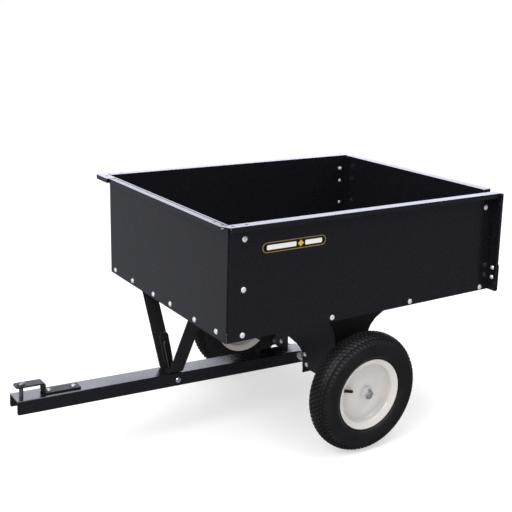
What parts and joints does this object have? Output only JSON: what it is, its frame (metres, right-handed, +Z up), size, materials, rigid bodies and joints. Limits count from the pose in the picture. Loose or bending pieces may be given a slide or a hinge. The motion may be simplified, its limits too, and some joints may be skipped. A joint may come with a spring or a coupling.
{
  "type": "tow behind cart",
  "caption": "Steel tow-behind dump cart: open box bed tipping on a wheeled axle, channel tongue with pin hitch, dump latch and lift-out tailgate.",
  "frame": {"origin": "centre of the bounding box in X and Y, on the ground in Z", "axes": "+X forward along the tongue, +Y to the cart's left, +Z up"},
  "size_m": [1.5594, 0.876, 0.818],
  "materials": {
    "black_coat": "gloss",
    "satin_black": "satin",
    "zinc": "bright zinc plate",
    "steel": "plain",
    "cream_coat": "gloss",
    "tyre_rubber": "matte",
    "valve_rubber": "matte",
    "badge_gold": "satin"
  },
  "bodies": {
    "tongue": {"tongue_beam": "black_coat", "hitch_strap": "satin_black", "hitch_bolts": "zinc", "latch_bolt": "zinc", "pivot_sleeve": "steel"},
    "hitch_pin_body": {"hitch_pin": "zinc"},
    "latch": {"latch_lever": "satin_black", "latch_spring": "steel", "lever_bolt": "satin_black"},
    "bed": {"bed_floor": "black_coat", "front_panel": "black_coat", "left_panel": "black_coat", "right_panel": "black_coat", "front_bolts": "zinc", "left_bolts": "zinc", "right_bolts": "zinc", "floor_bolts": "zinc", "left_gate_guide": "black_coat", "right_gate_guide": "black_coat", "guide_rivets": "zinc", "left_gate_bracket": "black_coat", "right_gate_bracket": "black_coat", "bracket_bolts": "zinc", "left_rim_gusset": "black_coat", "right_rim_gusset": "black_coat", "rim_bolts": "satin_black", "rim_nuts": "zinc", "latch_stand": "satin_black", "support_front": "satin_black", "support_rear": "satin_black", "left_side_plate": "satin_black", "right_side_plate": "satin_black", "left_axle_hanger": "satin_black", "right_axle_hanger": "satin_black", "hanger_bolts": "zinc", "tab_bolts": "zinc", "badge_plate": "badge_gold", "axle": "steel", "wheel_spacers": "steel", "axle_collars": "zinc", "axle_washers": "zinc", "axle_nuts": "zinc", "cotter_pins": "steel"},
    "gate": {"tailgate": "black_coat"},
    "left_wheel": {"left_tyre": "tyre_rubber", "left_rim_outer": "cream_coat", "left_rim_inner": "cream_coat", "left_hub": "cream_coat", "left_bushings": "steel", "left_valve": "valve_rubber"},
    "right_wheel": {"right_tyre": "tyre_rubber", "right_rim_outer": "cream_coat", "right_rim_inner": "cream_coat", "right_hub": "cream_coat", "right_bushings": "steel", "right_valve": "valve_rubber"}
  },
  "joints": [
    {"name": "bed_tilt", "type": "hinge", "parent": "tongue", "child": "bed", "pos_m": [-0.24501, 0, 0.2015], "axis": [0, -1, 0], "range_deg": [0, 45]},
    {"name": "left_wheel_spin", "type": "hinge", "parent": "bed", "child": "left_wheel", "pos_m": [-0.24501, 0.38, 0.2015], "axis": [0, 1, 0], "continuous": true},
    {"name": "right_wheel_spin", "type": "hinge", "parent": "bed", "child": "right_wheel", "pos_m": [-0.24501, -0.38, 0.2015], "axis": [0, 1, 0], "continuous": true},
    {"name": "tailgate_lift", "type": "slide", "parent": "bed", "child": "gate", "axis": [0.0419, 0, 0.9991], "range_m": [0, 0.3]},
    {"name": "latch_swing", "type": "hinge", "parent": "tongue", "child": "latch", "pos_m": [0.24599, -0.013, 0.211], "axis": [0, 1, 0], "range_deg": [0, 10], "stiffness_Nm_per_rad": 2, "springref_deg": -10.03},
    {"name": "hitch_pin_lift", "type": "slide", "parent": "tongue", "child": "hitch_pin_body", "axis": [-0.04, 0, 0.9992], "range_m": [0, 0.064]}
  ]
}
